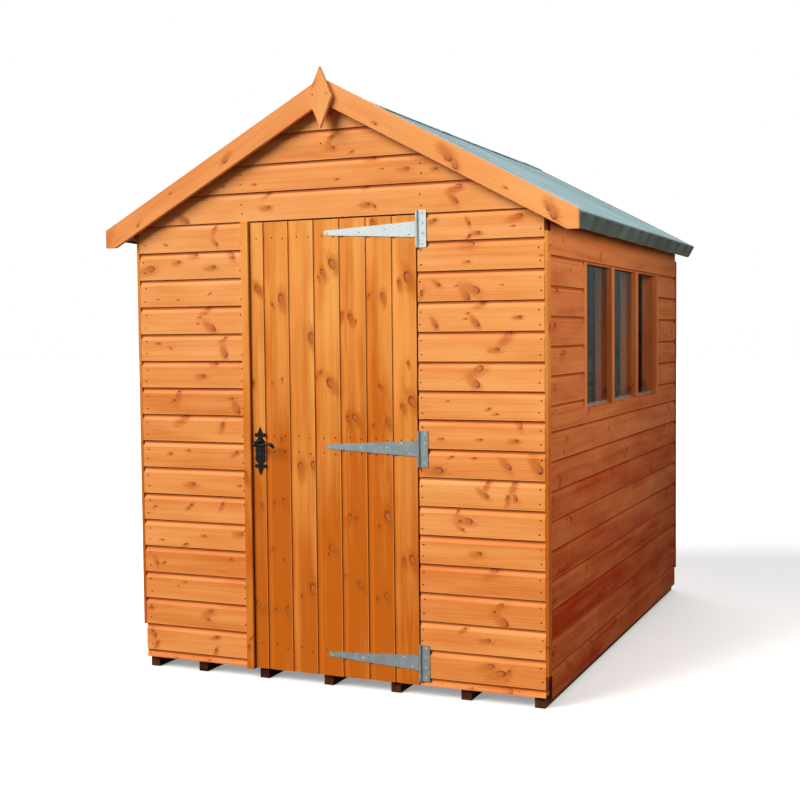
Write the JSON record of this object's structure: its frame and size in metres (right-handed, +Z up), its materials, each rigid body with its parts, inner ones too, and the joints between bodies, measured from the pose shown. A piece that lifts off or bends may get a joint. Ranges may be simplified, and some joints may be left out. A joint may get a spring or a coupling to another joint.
{
  "type": "timber garden shed",
  "caption": "Ridged-roof timber garden shed with shiplap walls, felt roof, fixed side window, and a hinged ledged-and-braced door with a lever handle.",
  "frame": {"origin": "ground level under the middle of the overall box, midway between the sides and between the finial's face and the rear verge", "axes": "+Z up, -Y out of the front wall with the door, +X out of the side wall with the window"},
  "size_m": [2.0498, 2.518, 2.4508],
  "materials": {
    "stained_cladding": "dipped golden-brown softwood",
    "stained_framing": "dipped sawn softwood",
    "bare_board": "bare softwood board",
    "treated_bearer": "dark pressure-treated softwood",
    "roofing_felt": "green mineral felt",
    "window_glass": "clear glazing",
    "galvanised_steel": "zinc plated",
    "black_iron": "black powder coat"
  },
  "bodies": {
    "shed": {"floor_bearers": "treated_bearer", "floor_boards": "bare_board", "front_wall_left": "stained_cladding", "front_wall_right": "stained_cladding", "front_gable": "stained_cladding", "door_post": "stained_cladding", "back_wall": "stained_cladding", "left_wall": "stained_cladding", "right_wall_lower": "stained_cladding", "right_wall_front": "stained_cladding", "right_wall_back": "stained_cladding", "right_wall_top": "stained_cladding", "corner_trims": "stained_cladding", "front_studs": "stained_framing", "front_rails": "stained_framing", "back_studs": "stained_framing", "back_rails": "stained_framing", "left_studs": "stained_framing", "left_rails": "stained_framing", "right_studs": "stained_framing", "right_rails": "stained_framing", "gable_rafters": "stained_framing", "window_posts": "stained_cladding", "window_sills": "stained_cladding", "window_glass": "window_glass", "roof_boards_left": "bare_board", "roof_boards_right": "bare_board", "roof_rails": "stained_framing", "roof_felt_left": "roofing_felt", "roof_felt_right": "roofing_felt", "ridge_strip": "roofing_felt", "bargeboard_left": "stained_cladding", "bargeboard_right": "stained_cladding", "rear_verge_boards": "stained_cladding", "finial": "stained_cladding", "hinge_leaves": "galvanised_steel", "hinge_pins": "galvanised_steel"},
    "door": {"door_leaf": "stained_cladding", "door_ledges": "stained_framing", "door_braces": "stained_framing", "hinge_straps": "galvanised_steel", "handle_plates": "black_iron"},
    "door_lever": {"outer_lever": "black_iron", "inner_lever": "black_iron", "lever_spindle": "black_iron"}
  },
  "joints": [
    {"name": "door_hinge", "type": "hinge", "parent": "shed", "child": "door", "pos_m": [0.3805, -1.2065, 0.968], "axis": [0, 0, 1], "range_deg": [0, 110]},
    {"name": "lever_turn", "type": "hinge", "parent": "door", "child": "door_lever", "pos_m": [-0.317, -1.201, 0.973], "axis": [0, 1, 0], "range_deg": [0, 35], "stiffness_Nm_per_rad": 1.5, "springref_deg": -14.32}
  ]
}
